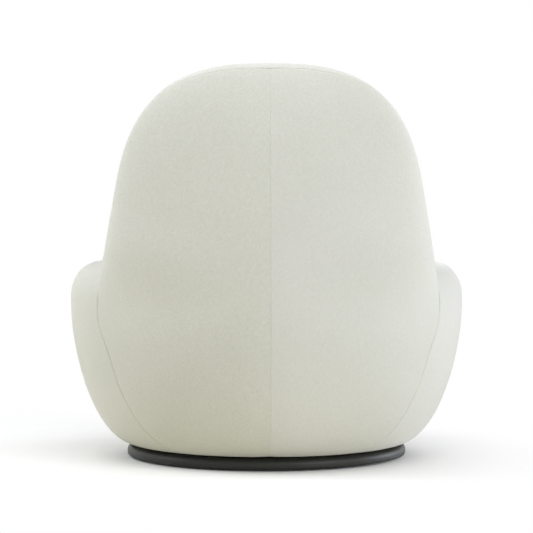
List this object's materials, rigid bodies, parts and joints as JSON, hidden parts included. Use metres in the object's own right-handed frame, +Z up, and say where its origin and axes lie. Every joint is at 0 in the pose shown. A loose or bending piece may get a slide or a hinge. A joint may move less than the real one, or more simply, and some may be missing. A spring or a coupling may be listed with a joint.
{
  "type": "swivel lounge chair",
  "caption": "Round upholstered lounge chair with a high domed back, low round arms and a loose crowned cushion, turning on a flat disc plinth.",
  "frame": {"origin": "on the floor, on the swivel axis, at the centre of the plinth", "axes": "+Z up along the swivel axis; the sitter faces -Y and the high back stands at +Y; +X is the sitter's left"},
  "size_m": [0.8426, 0.8427, 0.837],
  "materials": {
    "cage_plastic": "moulded plastic",
    "charcoal_metal": "semi-gloss charcoal coat on spun steel",
    "deck_cloth": "plain woven cotton",
    "dust_cloth": "spun black cloth",
    "foam": "cut polyurethane foam",
    "nylon": "moulded nylon",
    "plywood": "sanded birch plywood",
    "steel": "zinc-plated steel",
    "velvet": "short-pile brushed upholstery velvet, warm off-white",
    "webbing": "woven elastic webbing"
  },
  "bodies": {
    "base": {"base_cover": "charcoal_metal", "base_core": "plywood", "base_ballast": "steel", "floor_glides": "nylon", "base_screws": "steel", "swivel_lower_plate": "steel", "swivel_base_screws": "steel", "swivel_centre_pin": "steel", "swivel_washer": "steel", "swivel_lock_nut": "steel"},
    "ball_cage": {"swivel_ball_cage": "cage_plastic", "swivel_balls": "steel"},
    "seat_body": {"arm_board_left": "plywood", "arm_board_right": "plywood", "arm_cover_left": "velvet", "arm_cover_right": "velvet", "arm_foam_left": "foam", "arm_foam_right": "foam", "arm_gussets_left": "plywood", "arm_gussets_right": "plywood", "arm_liner_left": "plywood", "arm_liner_right": "plywood", "back_centre_stay": "plywood", "back_cross_straps": "webbing", "back_frame": "plywood", "back_lower_rib": "plywood", "back_middle_rib": "plywood", "back_upper_rib": "plywood", "back_upright_straps": "webbing", "bottom_board": "plywood", "bottom_ring": "plywood", "bottom_screws": "steel", "deck_cover": "deck_cloth", "deck_pad": "foam", "dust_cover": "dust_cloth", "front_apron_cover": "velvet", "front_apron_foam": "foam", "front_board": "plywood", "front_gussets": "plywood", "front_liner": "plywood", "inside_back_cover": "velvet", "inside_back_foam": "foam", "outside_back_cover_left": "velvet", "outside_back_cover_right": "velvet", "outside_back_liner": "plywood", "outside_back_padding": "foam", "seat_cover": "velvet", "seat_foam": "foam", "seat_posts": "plywood", "seat_ring": "plywood", "seat_springs": "steel", "spring_clips": "nylon", "swivel_seat_bolts": "steel", "swivel_upper_plate": "steel"}
  },
  "joints": [
    {"name": "swivel", "type": "hinge", "parent": "base", "child": "seat_body", "pos_m": [0, 0, 0.035], "axis": [0, 0, 1], "continuous": true},
    {"name": "ball_cage_spin", "type": "hinge", "parent": "base", "child": "ball_cage", "pos_m": [0, 0, 0.035], "axis": [0, 0, 1], "continuous": true}
  ],
  "couplings": [
    {"joint": "ball_cage_spin", "follows": "swivel", "ratio": 0.5}
  ]
}
